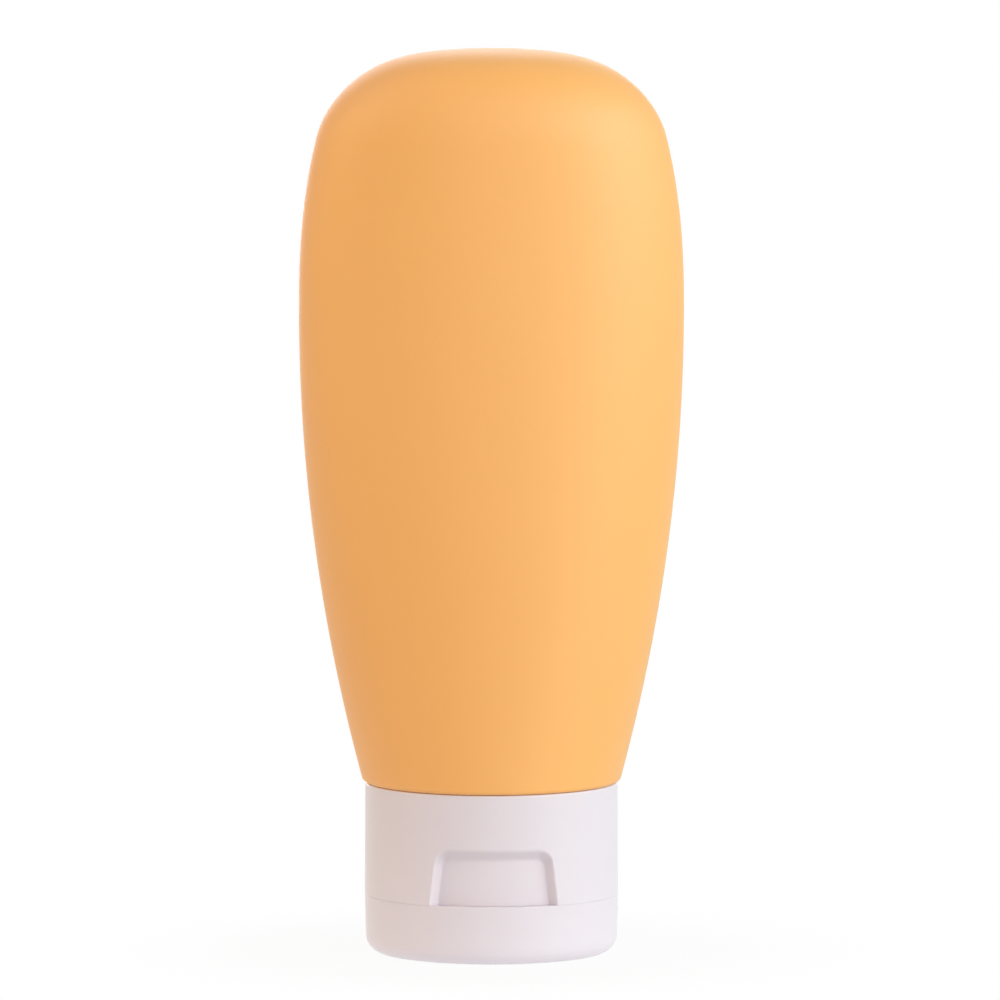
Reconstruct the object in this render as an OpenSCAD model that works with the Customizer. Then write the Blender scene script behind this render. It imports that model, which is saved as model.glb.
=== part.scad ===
// Travel squeeze bottle that stands on its flip-top cap.
// A soft body, round at the cap and flattened towards its domed end, screws
// down into the cap base. The lid is the foot: a film hinge joins it to the
// base at the back, and the thumb lifts it open from a recess at the front.
// Millimetres. The lid stands on z = 0, the front faces -Y, the hinge is at +Y.

/* [Body] */
// Width of the body where it is widest
body_w = 53.7; // [50:0.1:58]
// Height of the body above the cap
body_h = 102.5; // [95:0.5:110]
// Height of the widest place above the lower edge of the body
widest_z = 66.4; // [55:0.2:70]
// How full the tapering lower flank is, where 1 is a straight line
flank_fullness = 2.02; // [1.3:0.02:2.4]
// How far each side has drawn in again where the dome begins
flank_draw = 2.4; // [1.5:0.1:4]
// How late that drawing in comes, where 1 is a straight line
flank_lateness = 2.4; // [2:0.1:4]
// Depth of the body, front to back, where the dome begins
shoulder_depth = 27; // [23:0.5:33]
// Height of the dome that closes the body
dome_h = 12.5; // [9:0.5:15]
// Share of the dome's height that is a shallow crown
dome_crown = 0.17; // [0.1:0.01:0.3]
// How square the shoulders of the dome are, where 2 is an ellipse
dome_square = 5.2; // [3:0.1:7]
// How round the sides of the dome are, where 2 is an ellipse
dome_round = 2.1; // [2:0.1:4]
// Radius of the rounded lower edge of the body
foot_r = 0.6; // [0.4:0.1:2]
// How far the lower edge of the body stands out past the cap
foot_overhang = 0.25; // [0:0.05:1]
// Wall of the body
body_wall = 1.2; // [0.8:0.1:1.8]
// Thickness of the flat shoulder that carries the neck
shoulder_t = 1.4; // [1:0.1:2]

/* [Neck and thread] */
// Diameter of the neck between its threads
neck_d = 20.4; // [18:0.2:21]
// Wall of the neck
neck_wall = 1.4; // [1:0.1:2]
// Radius of the fillet where the neck meets the shoulder
neck_root_r = 1; // [0.4:0.1:1.5]
// Height of the thread over the neck
thread_depth = 0.9; // [0.7:0.05:1]
// Rise of the thread in one turn
thread_pitch = 3; // [2.6:0.1:3.4]
// Turns of thread, on the neck and in the cap
thread_turns = 2; // [1:0.5:2.5]
// Width of a thread at its root
thread_root_w = 1.45; // [1.2:0.05:1.6]
// Width of a thread at its crest
thread_crest_w = 0.7; // [0.5:0.05:0.9]
// Plain length of neck before the first thread
thread_lead = 1.6; // [1:0.1:2.5]
// Air between the neck and its thread and those of the cap
thread_gap = 0.3; // [0.2:0.05:0.4]

/* [Sealing ring] */
// Thickness of the sealing ring between the neck and the cap
ring_t = 1; // [0.6:0.1:1.6]
// Width of the sealing ring, from its hole to its edge
ring_w = 2.4; // [1.8:0.1:3]
// Air above and below the sealing ring
ring_gap = 0.1; // [0.05:0.05:0.3]

/* [Cap base] */
// Diameter of the cap base
cap_d = 35.4; // [35:0.1:38]
// Height of the cap base above the seam
base_h = 15.6; // [14:0.1:20]
// Wall of the outer skirt
skirt_wall = 1.3; // [1:0.1:1.6]
// Radius on the upper rim of the skirt
rim_r = 0.3; // [0.1:0.05:0.6]
// Air between the rim of the skirt and the body
rim_gap = 0.15; // [0.1:0.05:0.5]
// Thickness of the deck that the sealing ring lies on
deck_t = 1.6; // [1.2:0.1:2.2]
// Wall of the threaded sleeve
sleeve_wall = 1.2; // [1:0.1:1.6]
// Length of the sleeve beyond its last thread
sleeve_lead = 0.9; // [0.5:0.1:1.5]
// How far the plinth of the base reaches into the lid
plinth_h = 1.15; // [0.8:0.05:1.6]
// Wall of the plinth
plinth_wall = 1.2; // [1:0.1:1.6]
// Air between the plinth and the lid
plinth_gap = 0.3; // [0.2:0.05:0.5]
// Diameter of the nozzle at the deck
nozzle_d = 8.4; // [7:0.1:10]
// Diameter of the nozzle at its tip
nozzle_tip_d = 6.6; // [5.4:0.1:7]
// Length of the nozzle
nozzle_h = 3.2; // [2.4:0.1:4]
// Radius on the tip of the nozzle
nozzle_tip_r = 0.6; // [0.2:0.1:0.8]
// Diameter of the hole that the contents leave by
spout_d = 3.6; // [3.4:0.1:5]

/* [Thumb recess] */
// Width of the recess floor at the seam
recess_w = 15.5; // [12:0.1:16]
// Height of the recess floor above the seam
recess_h = 6.5; // [5:0.1:7.5]
// Depth of the recess floor below the skirt
recess_depth = 1.5; // [1.2:0.05:1.6]
// How far each side leans in for each millimetre of height
recess_lean = 0.115; // [0:0.005:0.2]
// How far each side wall opens for each millimetre of depth
recess_side_flare = 0.8; // [0.5:0.05:1.3]
// How far the top wall opens for each millimetre of depth
recess_top_flare = 0.95; // [0.5:0.05:1.3]
// Corner radius of the recess floor
recess_r = 0.9; // [0.4:0.1:1.5]
// Corner radius that is added for each millimetre of depth
recess_r_flare = 0.65; // [0.2:0.05:0.8]
// Wall behind the recess
recess_wall = 1.2; // [0.8:0.1:1.3]

/* [Lid] */
// Height of the lid
lid_h = 8.2; // [7.6:0.1:11]
// How far the lid stands in from the skirt
lid_inset = 0.15; // [0:0.05:0.4]
// Air in the seam between lid and base
seam_gap = 0.15; // [0.1:0.05:0.4]
// Wall of the lid
lid_wall = 1.2; // [1:0.1:1.5]
// Thickness of the plate that the lid stands on
lid_plate = 1.4; // [1:0.1:1.8]
// Radius of the rounded edge that the lid stands on
lid_edge_r = 2.5; // [1.6:0.1:3]
// Diameter of the pin that stops the spout
pin_d = 2.9; // [2.4:0.1:3]
// How far the pin reaches into the spout
pin_reach = 2; // [1.5:0.1:2.5]
// Diameter of the pin's root
pin_root_d = 4.4; // [3.6:0.1:5]
// Small radius on the two edges of the seam
seam_r = 0.15; // [0.05:0.05:0.3]

/* [Hinge] */
// Width of the flat at the back that carries the hinge
hinge_w = 10; // [9:0.5:12]
// Thickness of the hinge film
film_t = 0.35; // [0.25:0.05:0.5]
// Width of the middle strap of the hinge
strap_w = 5; // [4:0.2:6]
// Width of each side band of the hinge
band_w = 1.2; // [0.8:0.1:1.4]
// How far the film is fused to the base and to the lid
film_reach = 1; // [0.6:0.1:1.6]
// Wall behind the hinge flat
hinge_wall = 1.2; // [1:0.1:1.6]
// How far the flat on the base reaches past the open lid
hinge_lead = 0.5; // [0.3:0.1:1]

/* [Hidden] */
// Heights, from the floor up
base_z = lid_h + seam_gap;
deck_z = base_z + deck_t;
ring_z = deck_z + ring_gap;
neck_z = ring_z + ring_t + ring_gap;
cap_top = base_z + base_h;
foot_z = cap_top + rim_gap;
flank_h = body_h - dome_h;
seam_z = lid_h + seam_gap / 2;
thread_z = neck_z + thread_lead + thread_root_w / 2;
sleeve_top = thread_z + thread_turns * thread_pitch + thread_root_w / 2 + sleeve_lead;
nozzle_z = base_z - nozzle_h;
plinth_z = base_z - plinth_h;

// Radii, from the middle out
neck_r = neck_d / 2;
bore_r = neck_r - neck_wall;
sleeve_r = neck_r + thread_depth + thread_gap;
cap_r = cap_d / 2;
skirt_r = cap_r - skirt_wall;
recess_floor_r = cap_r - recess_depth;
lid_out_r = cap_r - lid_inset;
lid_r = lid_out_r - lid_wall;
plinth_r = lid_r - plinth_gap;
foot_edge_r = cap_r + foot_overhang;

// Planes at the back
flat_y = sqrt(pow(lid_out_r, 2) - pow(hinge_w / 2, 2));
hinge_y = flat_y + film_t / 2;
hinge_back_y = flat_y - hinge_wall;
plinth_back_y = hinge_back_y - plinth_gap;

// Fineness of the curved surfaces
body_sides = 48;
flank_rings = 16;
dome_rings = 12;
edge_rings = 4;
thread_sides = 30;
corner_steps = 6;
recess_columns = 12;
weld = 0.2;
$fn = 96;

// Colours of the three plastics
body_colour = "#F4B26B";
cap_colour = "#EDE3E5";
ring_colour = "#E3E0DC";

// Half width of the body at height h above its lower edge
function half_width(h) = foot_edge_r
    + (body_w / 2 - foot_edge_r) * (1 - pow(1 - min(h, widest_z) / widest_z, flank_fullness))
    - flank_draw * pow(max(h - widest_z, 0) / (flank_h - widest_z), flank_lateness);

// Half depth of the body: round at the lower edge, flattened towards the dome
function half_depth(h) = foot_edge_r
    - (foot_edge_r - shoulder_depth / 2) * pow(h / flank_h, 2);

// One ring of the body: [half width, half depth, height]
function edge_ring(angle) = let (h = foot_r * (1 - sin(angle)), inset = foot_r * (1 - cos(angle)))
    [half_width(h) - inset, half_depth(h) - inset, foot_z + h];
function flank_ring(h, wall) = [half_width(h) - wall, half_depth(h) - wall, foot_z + h];

// A ring of the dome, from its rim at step 0 to nearly its pole at the last step
function dome_ring(step, wall) = let (
        angle = 90 * pow(1 - step / dome_rings, 2),
        q = pow(sin(angle), 2 / dome_square),
        rise = 1 - dome_crown * pow(q, 2) - (1 - dome_crown) * (1 - pow(cos(angle), 2 / dome_round)),
        h = flank_h + dome_h * rise)
    [(half_width(h) - wall) * q, (half_depth(h) - wall) * q, foot_z + h - wall * rise];

// Rings from the pole outside, down over the body, in through the neck hole
// and up again inside to the pole of the hollow
hole_r = (neck_r + bore_r) / 2;
inside_h = shoulder_t + foot_r;
outside_rings = concat(
    [for (step = [dome_rings - 1 : -1 : 0]) dome_ring(step, 0)],
    [for (step = [flank_rings - 1 : -1 : 1]) flank_ring(foot_r + (flank_h - foot_r) * step / flank_rings, 0)],
    [for (step = [0 : edge_rings]) edge_ring(90 * step / edge_rings)],
    [[hole_r, hole_r, foot_z]]);
inside_rings = concat(
    [[hole_r, hole_r, foot_z + shoulder_t]],
    [for (step = [0 : 2]) let (angle = 45 * step)
        [half_width(inside_h) - body_wall - foot_r * (1 - sin(angle)),
         half_depth(inside_h) - body_wall - foot_r * (1 - sin(angle)),
         foot_z + shoulder_t + foot_r * (1 - cos(angle))]],
    [for (step = [1 : 9]) flank_ring(inside_h + (flank_h - inside_h) * step / 10, body_wall)],
    [for (step = [0 : 2 : dome_rings - 1]) dome_ring(step, body_wall)]);

// A closed surface through rings, with a pole at each end
module ring_surface(rings, first_pole, last_pole) {
    n = body_sides;
    last = len(rings) - 1;
    points = concat(
        [for (ring = rings) for (side = [0 : n - 1]) let (turn = 360 * side / n)
            [ring[0] * cos(turn), ring[1] * sin(turn), ring[2]]],
        [first_pole, last_pole]);
    first = len(points) - 2;
    faces = concat(
        [for (side = [0 : n - 1]) [first, (side + 1) % n, side]],
        [for (k = [0 : last - 1]) for (side = [0 : n - 1])
            [k * n + side, k * n + (side + 1) % n, (k + 1) * n + (side + 1) % n, (k + 1) * n + side]],
        [for (side = [0 : n - 1]) [first + 1, last * n + side, last * n + (side + 1) % n]]);
    polyhedron(points, faces, convexity = 4);
}

// A thread that stands out from root_r to crest_r and fades at both ends
module thread(root_r, crest_r, start_turn) {
    steps = round(thread_turns * thread_sides);
    fade = 3;
    points = [for (step = [0 : steps])
        let (turn = start_turn + 360 * step / thread_sides,
             z = thread_z + thread_pitch * step / thread_sides,
             full = min(1, min(step, steps - step) / fade),
             r = root_r + (crest_r - root_r) * max(full, 0.1),
             root_w = thread_root_w / 2,
             crest_w = thread_crest_w / 2)
        for (corner = [[root_r, -root_w], [r, -crest_w], [r, crest_w], [root_r, root_w]])
        [corner[0] * cos(turn), corner[0] * sin(turn), z + corner[1]]];
    outward = crest_r > root_r;
    sides = [for (step = [0 : steps - 1]) for (k = [0 : 3])
        let (a = 4 * step + k, b = 4 * step + (k + 1) % 4)
        outward ? [a, b, b + 4, a + 4] : [a + 4, b + 4, b, a]];
    ends = outward
        ? [[3, 2, 1, 0], [for (k = [0 : 3]) 4 * steps + k]]
        : [[0, 1, 2, 3], [for (k = [3 : -1 : 0]) 4 * steps + k]];
    polyhedron(points, concat(sides, ends), convexity = 6);
}

// A ring turned from a rectangle in section
module ring(inner_r, outer_r, from_z, to_z) {
    rotate_extrude()
        translate([inner_r, from_z])
            square([outer_r - inner_r, to_z - from_z]);
}

// The blown body: shoulder, flanks and dome in one wall, with the neck on it
module bottle() {
    color(body_colour) {
        ring_surface(concat(outside_rings, inside_rings),
            [0, 0, foot_z + body_h], [0, 0, foot_z + body_h - body_wall]);
        rotate_extrude() {
            translate([bore_r, neck_z])
                square([neck_wall, foot_z + shoulder_t - neck_z]);
            difference() {
                translate([neck_r - weld, foot_z - neck_root_r])
                    square([neck_root_r + weld, neck_root_r + weld]);
                translate([neck_r + neck_root_r, foot_z - neck_root_r])
                    circle(neck_root_r);
            }
        }
        thread(neck_r - weld, neck_r + thread_depth, 0);
    }
}

// The loose ring that the neck presses on the deck
module seal_ring() {
    color(ring_colour)
        ring(neck_r - ring_w, neck_r, ring_z, ring_z + ring_t);
}

// Section of the skirt, with a rounded rim and a small radius at the seam
module skirt_section() {
    difference() {
        translate([skirt_r, base_z])
            square([skirt_wall, base_h]);
        translate([cap_r - rim_r, cap_top - rim_r])
            square(rim_r + weld);
        translate([cap_r - seam_r, base_z - weld])
            square([seam_r + weld, seam_r + weld]);
    }
    translate([cap_r - rim_r, cap_top - rim_r])
        circle(rim_r);
    translate([cap_r - seam_r, base_z + seam_r])
        circle(seam_r);
}

// Section of the nozzle, which tapers from the deck down to a rounded tip
module nozzle_section() {
    tip_r = nozzle_tip_d / 2;
    translate([0, nozzle_z])
        polygon([
            [spout_d / 2, 0],
            [tip_r - nozzle_tip_r, 0],
            [tip_r - nozzle_tip_r, nozzle_tip_r],
            [tip_r, nozzle_tip_r],
            [nozzle_d / 2, nozzle_h],
            [nozzle_d / 2, nozzle_h + weld],
            [spout_d / 2, nozzle_h + weld]]);
    translate([tip_r - nozzle_tip_r, nozzle_z + nozzle_tip_r])
        circle(nozzle_tip_r);
}

// Half the outline of the recess at a reach out from its floor, grown by a
// wall: [half width, height] from below the seam, round the corner, to the top
function recess_half(out, wall, below) = let (
        r = recess_r + recess_r_flare * out + wall,
        foot = recess_w / 2 + recess_side_flare * out + wall,
        top = recess_h + recess_top_flare * out + wall,
        tilt = atan(recess_lean),
        x = foot - recess_lean * (top - r) - r / cos(tilt))
    concat([[foot + recess_lean * below, -below]],
        [for (step = [0 : corner_steps]) let (angle = tilt + (90 - tilt) * step / corner_steps)
            [x + r * cos(angle), top - r + r * sin(angle)]]);

// A sheet of points bent round the axis at radius r, one row for each point
function recess_sheet(half, r) =
    [for (p = half) for (k = [0 : recess_columns]) let (x = p[0] * (2 * k / recess_columns - 1))
        [x, -sqrt(pow(r, 2) - pow(x, 2)), base_z + p[1]]];

// The flaring block of the recess, from its round floor out past the skirt
module recess_block(wall, below) {
    reach = recess_depth + 1;
    floor_line = recess_half(0, wall, below);
    mouth_line = recess_half(reach, wall, below);
    points = concat(
        recess_sheet(floor_line, recess_floor_r - wall),
        recess_sheet(mouth_line, recess_floor_r + reach));
    rows = len(floor_line);
    n = recess_columns + 1;
    mouth = rows * n;
    last = mouth - n;
    faces = concat(
        [for (row = [0 : rows - 2]) for (k = [0 : n - 2]) let (a = row * n + k)
            [a, a + 1, a + n + 1, a + n]],
        [for (row = [0 : rows - 2]) for (k = [0 : n - 2]) let (a = mouth + row * n + k)
            [a + n, a + n + 1, a + 1, a]],
        [for (k = [0 : n - 2]) [k + 1, k, mouth + k, mouth + k + 1]],
        [for (k = [0 : n - 2]) let (a = last + k) [a, a + 1, mouth + a + 1, mouth + a]],
        [for (row = [0 : rows - 2]) let (a = row * n) [a, a + n, mouth + a + n, mouth + a]],
        [for (row = [0 : rows - 2]) let (a = row * n + n - 1) [a + n, a, mouth + a, mouth + a + n]]);
    polyhedron(points, faces, convexity = 4);
}

// The part of a disc that lies behind the plane at y
module segment(r, y, from_z, to_z) {
    intersection() {
        translate([0, 0, from_z])
            cylinder(h = to_z - from_z, r = r);
        translate([-r, y, from_z - 1])
            cube([2 * r, r, to_z - from_z + 2]);
    }
}

// Outline of the plinth: a disc cut flat at the hinge
module plinth_outline(inset) {
    intersection() {
        circle(plinth_r - inset);
        translate([-plinth_r, -plinth_r])
            square([2 * plinth_r, plinth_r + plinth_back_y - inset]);
    }
}

// Skirt, deck, threaded sleeve, plinth and nozzle, moulded as one
module cap_base() {
    flat_top = seam_z + lid_h + hinge_lead;
    color(cap_colour)
        difference() {
            union() {
                rotate_extrude() {
                    skirt_section();
                    translate([spout_d / 2, base_z])
                        square([skirt_r + weld - spout_d / 2, deck_t]);
                    translate([sleeve_r, deck_z - weld])
                        square([sleeve_wall, sleeve_top - deck_z + weld]);
                    nozzle_section();
                }
                thread(sleeve_r + weld, neck_r + thread_gap, 180);
                translate([0, 0, plinth_z])
                    linear_extrude(plinth_h + weld)
                        difference() {
                            plinth_outline(0);
                            plinth_outline(plinth_wall);
                        }
                intersection() {
                    recess_block(recess_wall, 0);
                    cylinder(h = 4 * base_h, r = skirt_r + weld);
                }
                segment(skirt_r + weld, hinge_back_y, base_z + weld, flat_top + hinge_wall);
            }
            recess_block(0, weld);
            translate([-hinge_w, flat_y, base_z - weld])
                cube([2 * hinge_w, cap_r, flat_top - base_z + weld]);
        }
}

// Section of the lid: plate and wall in one curve, with the pin in the middle
module lid_section() {
    inner_edge_r = max(lid_edge_r - lid_wall, 0.2);
    difference() {
        union() {
            square([lid_out_r - lid_edge_r, lid_h]);
            translate([0, lid_edge_r])
                square([lid_out_r, lid_h - lid_edge_r - seam_r]);
            translate([0, lid_h / 2])
                square([lid_out_r - seam_r, lid_h / 2]);
            translate([lid_out_r - lid_edge_r, lid_edge_r])
                circle(lid_edge_r);
            translate([lid_out_r - seam_r, lid_h - seam_r])
                circle(seam_r);
        }
        translate([0, lid_plate])
            square([lid_r - inner_edge_r, lid_h]);
        translate([0, lid_plate + inner_edge_r])
            square([lid_r, lid_h]);
        translate([lid_r - inner_edge_r, lid_plate + inner_edge_r])
            circle(inner_edge_r);
    }
}

// Section of the pin: a stepped root and a round nose that enters the spout
module pin_section() {
    pin_top = nozzle_z + pin_reach;
    intersection() {
        union() {
            translate([0, lid_plate - weld])
                square([pin_d / 2, pin_top - pin_d / 2 - lid_plate + weld]);
            translate([0, pin_top - pin_d / 2])
                circle(pin_d / 2);
            translate([0, lid_plate - weld])
                square([pin_root_d / 2, (nozzle_z - lid_plate) / 2 + weld]);
        }
        square([cap_r, lid_h + base_h]);
    }
}

// The lid that the bottle stands on; its rim is the ledge under the recess
module lid() {
    color(cap_colour)
        difference() {
            union() {
                rotate_extrude() {
                    lid_section();
                    pin_section();
                }
                segment(lid_r + weld, hinge_back_y, lid_plate - weld, lid_h);
            }
            translate([-hinge_w, flat_y, -1])
                cube([2 * hinge_w, cap_r, lid_h + 2]);
        }
}

// The film across the seam: a strap in the middle and a band on each side
module living_hinge() {
    edge = hinge_w / 2 - band_w;
    color(cap_colour)
        for (strip = [[-hinge_w / 2, band_w], [-strap_w / 2, strap_w], [edge, band_w]])
            translate([strip[0], flat_y, seam_z - film_reach])
                cube([strip[1], film_t, 2 * film_reach]);
}

bottle();
seal_ring();
cap_base();
lid();
living_hinge();
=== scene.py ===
# %% [markdown]
# # A travel squeeze bottle that stands on its cap
# The real thing has four mouldings. A soft body is blown in a mould, and it screws down into a stiff cap
# base. The lid under the base is the foot, and a film hinge joins the two at the back. A loose ring seals
# the neck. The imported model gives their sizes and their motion, and this lesson gives them their finished
# surfaces, finer edges and light.

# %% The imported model
import bpy
import numpy as np
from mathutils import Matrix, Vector


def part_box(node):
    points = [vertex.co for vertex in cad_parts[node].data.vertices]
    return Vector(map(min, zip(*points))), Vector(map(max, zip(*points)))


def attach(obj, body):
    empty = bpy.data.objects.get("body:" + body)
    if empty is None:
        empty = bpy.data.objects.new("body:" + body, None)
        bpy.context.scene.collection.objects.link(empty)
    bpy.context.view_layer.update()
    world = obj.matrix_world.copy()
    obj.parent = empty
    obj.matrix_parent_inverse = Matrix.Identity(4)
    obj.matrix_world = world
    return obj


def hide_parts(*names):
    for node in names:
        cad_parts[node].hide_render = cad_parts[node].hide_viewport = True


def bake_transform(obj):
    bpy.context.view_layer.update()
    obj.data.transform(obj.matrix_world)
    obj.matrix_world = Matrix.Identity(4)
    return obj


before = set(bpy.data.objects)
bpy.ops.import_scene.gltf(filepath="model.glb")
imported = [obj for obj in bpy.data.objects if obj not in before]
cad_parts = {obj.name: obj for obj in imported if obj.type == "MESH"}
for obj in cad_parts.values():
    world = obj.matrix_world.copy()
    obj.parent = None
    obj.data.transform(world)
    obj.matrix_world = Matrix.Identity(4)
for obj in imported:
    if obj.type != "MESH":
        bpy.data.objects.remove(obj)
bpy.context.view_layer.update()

# %% [markdown]
# ## Sizes
# Every shape below is worked out in millimetres, as the part's own source does, and turned to metres only
# when its points go into a mesh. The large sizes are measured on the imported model, so a resized model takes
# its skin along. Walls, gaps and fillets can't be measured on a box, so they are named here.

# %% Large sizes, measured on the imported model
MM = 0.001


def node_box(name):
    """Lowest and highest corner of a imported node, in millimetres."""
    low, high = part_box(name)
    return np.array(low) / MM, np.array(high) / MM


bottle_low, bottle_high = node_box("bottle")
base_low, base_high = node_box("cap_base")
lid_low, lid_high = node_box("lid")
ring_low, ring_high = node_box("seal_ring")
film_low, film_high = node_box("living_hinge")

body_w = bottle_high[0] - bottle_low[0]
top_z = bottle_high[2]
neck_z = bottle_low[2]
cap_r = (base_high[0] - base_low[0]) / 2
lid_out_r = (lid_high[0] - lid_low[0]) / 2
cap_top = base_high[2]
nozzle_z = base_low[2]
seam_z = (film_low[2] + film_high[2]) / 2
print(f"body {body_w:.1f} wide, cap {2 * cap_r:.1f} across, {top_z:.1f} high, neck ends at {neck_z:.2f}")

# %% [markdown]
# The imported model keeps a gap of 0.15 mm at the seam and under the body, so that nothing touches in the
# motion checks. On the real cap both are shut, and an eye sees a hairline at most. So the finished pieces
# close them to hairlines.

# %% Seam
SEAM_HAIR = 0.01
SEAM_EDGE_R = 0.04
FOOT_HAIR = 0.05
base_z = seam_z + SEAM_HAIR / 2
lid_h = seam_z - SEAM_HAIR / 2
print(f"seam at {seam_z:.3f}")

# %% [markdown]
# ## Camera
# The photograph was taken from a little above, from far enough away that the sides of the cap stay upright.
# A long lens does the same. The frame is as wide as the photograph is at the bottle, and the bottle's front
# is turned a degree away, because the thumb recess sits a degree off the middle.

# %% Camera
CAMERA_TILT = np.radians(6.3)
CAMERA_TURN = np.radians(-1.15)
FRAME_WIDTH = 139.5
LENS = 1000
SENSOR = 36
AIM = np.array([1.19, 0, 63.4])

back = np.array([np.sin(CAMERA_TURN) * np.cos(CAMERA_TILT),
                 -np.cos(CAMERA_TURN) * np.cos(CAMERA_TILT),
                 np.sin(CAMERA_TILT)])
camera = bpy.data.objects.new("camera", bpy.data.cameras.new("camera"))
camera.data.lens = LENS
camera.data.sensor_width = SENSOR
camera.data.clip_end = 100
camera.location = Vector((AIM + back * FRAME_WIDTH * LENS / SENSOR) * MM)
camera.rotation_euler = Vector(-back).to_track_quat("-Z", "Y").to_euler()
bpy.context.scene.collection.objects.link(camera)
bpy.context.scene.camera = camera
print("camera stands", round(FRAME_WIDTH * LENS / SENSOR), "mm away")

# %% [markdown]
# ## Colour
# Colours are written as a painter's hex values, the way a screen shows them. The shaders work in linear
# light, so one function turns every hex value into linear numbers.

# %% Colours


def linear(hex_colour):
    """An sRGB hex colour as linear red, green, blue and alpha.

    A channel c from 0 to 1 becomes c / 12.92 below 0.04045, and ((c + 0.055) / 1.055) to the power 2.4
    above it.
    """
    c = np.array([int(hex_colour[k:k + 2], 16) for k in (1, 3, 5)]) / 255
    return (*np.where(c <= 0.04045, c / 12.92, ((c + 0.055) / 1.055) ** 2.4), 1)


print("white in linear light", linear("#FFFFFF"))

# %% [markdown]
# ## From a grid of points to a closed surface
# Every piece here was turned, blown or moulded round one axis, so its skin is a grid: rows run along the
# outline and columns run round the axis. The columns always close on themselves. The rows either close too,
# as on a tube that has a hole through it, or end in two poles. The sign of the enclosed volume says whether
# the faces look outwards.

# %% Grid to mesh


def shell_faces(grid, poles):
    """Vertices, quads and triangles of one closed shell.

    Each quad joins a point to the next one round, and both to the next row. With two poles, the first row
    is joined to the first pole and the last row to the second by triangles. Without poles the last row
    joins the first.
    """
    rows, columns = grid.shape[:2]
    here = np.arange(rows * columns).reshape(rows, columns)
    beside = np.roll(here, -1, axis=1)
    below = np.roll(here, -1, axis=0)
    beyond = np.roll(below, -1, axis=1)
    quads = np.stack([here, beside, beyond, below], axis=-1)
    points = grid.reshape(-1, 3)
    triangles = np.zeros((0, 3), int)
    if poles is not None:
        quads = quads[:-1]
        first, last = len(points), len(points) + 1
        start = np.stack([beside[0], here[0], np.full(columns, first)], axis=-1)
        finish = np.stack([here[-1], beside[-1], np.full(columns, last)], axis=-1)
        triangles = np.concatenate([start, finish])
        points = np.concatenate([points, np.array(poles, float)])
    return points, quads.reshape(-1, 4), triangles


def add_piece(name, shells):
    """Makes one mesh object from closed shells, each a grid in millimetres and its poles, or None.

    The volume is a sixth of the sum of p0 . (p1 x p2) over all triangles, and where it is negative the
    faces of that shell are turned over.
    """
    vertices, faces, volume = [], [], 0
    for grid, poles in shells:
        points, quads, triangles = shell_faces(grid, poles)
        halves = np.concatenate([quads[:, [0, 1, 2]], quads[:, [0, 2, 3]], triangles])
        a, b, c = (points[halves[:, k]] for k in range(3))
        enclosed = np.einsum("ij,ij->", a, np.cross(b, c)) / 6
        order = 1 if enclosed > 0 else -1
        offset = sum(len(block) for block in vertices)
        faces += (quads[:, ::order] + offset).tolist() + (triangles[:, ::order] + offset).tolist()
        vertices.append(points)
        volume += abs(enclosed)
    mesh = bpy.data.meshes.new(name)
    mesh.from_pydata((np.concatenate(vertices) * MM).tolist(), [], faces)
    mesh.polygons.foreach_set("use_smooth", np.ones(len(mesh.polygons), bool))
    mesh.update()
    piece = bpy.data.objects.new(name, mesh)
    bpy.context.scene.collection.objects.link(piece)
    mesh.calc_loop_triangles()
    print(f"{name}: {len(mesh.loop_triangles)} triangles, {volume:.0f} cubic millimetres")
    return piece


# %% [markdown]
# ## Outlines with rounded corners
# A moulded edge is never knife sharp: steel is cut with a round tool, and plastic pulls in as it cools. So
# an outline is given as its corners, each with the radius of its fillet. The arcs, and a point a little
# beyond each end of an arc that keeps the flat beside it flat in the light, are worked out for all corners
# at once.

# %% Rounded outlines
ARC_STEPS = 5
ARC_LEAD = 0.3


def rounded(corners, closed):
    """Points [radius, height] along an outline, and the number of the corner that each belongs to.

    With u and v the unit directions from a corner to its neighbours and w half the angle between them, the
    fillet of radius r starts r / tan(w) from the corner, and its centre lies r / sin(w) away, halfway
    between u and v.
    """
    place, fillet = corners[:, :2], corners[:, 2]
    inner = slice(None) if closed else slice(1, -1)
    to_last = (np.roll(place, 1, axis=0) - place)[inner]
    to_next = (np.roll(place, -1, axis=0) - place)[inner]
    p, r = place[inner], fillet[inner, None]
    u = to_last / np.linalg.norm(to_last, axis=1, keepdims=True)
    v = to_next / np.linalg.norm(to_next, axis=1, keepdims=True)
    half = np.arccos(np.clip(np.sum(u * v, axis=1, keepdims=True), -1, 1)) / 2
    reach = r / np.tan(half)
    centre = p + (u + v) / np.linalg.norm(u + v, axis=1, keepdims=True) * r / np.sin(half)
    first = (p + u * reach - centre)[:, None]
    last = (p + v * reach - centre)[:, None]
    sweep = (np.pi - 2 * half)[:, None]
    share = np.linspace(0, 1, ARC_STEPS + 1)[None, :, None]
    spread = (np.sin((1 - share) * sweep) * first + np.sin(share * sweep) * last) / np.sin(sweep)
    arc = centre[:, None] + spread
    before = (p + u * (reach + ARC_LEAD * r))[:, None]
    after = (p + v * (reach + ARC_LEAD * r))[:, None]
    points = np.concatenate([before, arc, after], axis=1)
    number = np.repeat(np.arange(len(place))[inner], points.shape[1])
    return points.reshape(-1, 2), number


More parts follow.
